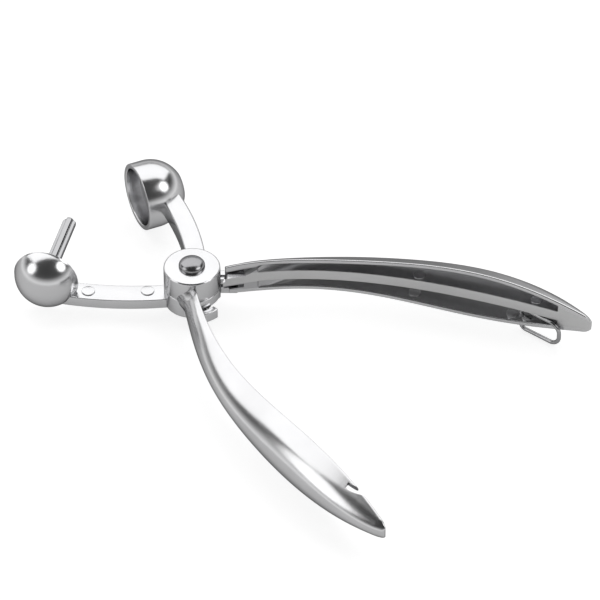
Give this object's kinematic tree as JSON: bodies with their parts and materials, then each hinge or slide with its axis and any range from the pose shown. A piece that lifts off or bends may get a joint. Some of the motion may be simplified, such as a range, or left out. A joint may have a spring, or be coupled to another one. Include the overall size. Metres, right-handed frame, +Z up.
{
  "type": "cherry and olive pitter",
  "caption": "Plier-type cherry and olive pitter: bowed hollow handles on a riveted pivot, fluted punch rod in a bowl, drilled cup, torsion spring and wire locking bail.",
  "frame": {"origin": "centre of the bounding box at its base, on the table it lies on", "axes": "+X towards the handles' tips along the line that halves the opened handles, +Y towards the handle with the punch and bail, +Z up along the pivot towards the rivet's head"},
  "size_m": [0.1746, 0.1246, 0.024],
  "materials": {
    "zinc": "polished die-cast zinc alloy",
    "bright_steel": "bright drawn steel",
    "dark_steel": "dark polished steel"
  },
  "bodies": {
    "cup_lever": {"cup_lever": "zinc", "pivot_rivet": "dark_steel", "rivet_washer": "bright_steel"},
    "punch_lever": {"punch_lever": "zinc", "punch_rod": "bright_steel", "torsion_spring": "bright_steel"},
    "locking_bail": {"locking_bail": "bright_steel"}
  },
  "joints": [
    {"name": "squeeze", "type": "hinge", "parent": "cup_lever", "child": "punch_lever", "pos_m": [-0.03305, -0.00083, 0.0123], "axis": [0, 0, -1], "range_deg": [0, 52], "stiffness_Nm_per_rad": 0.6, "springref_deg": -20.05, "deforming": ["torsion_spring"]},
    {"name": "bail_swing", "type": "hinge", "parent": "punch_lever", "child": "locking_bail", "pos_m": [0.06145, 0.05577, 0.0123], "axis": [0, 0, -1], "range_deg": [0, 38]}
  ]
}
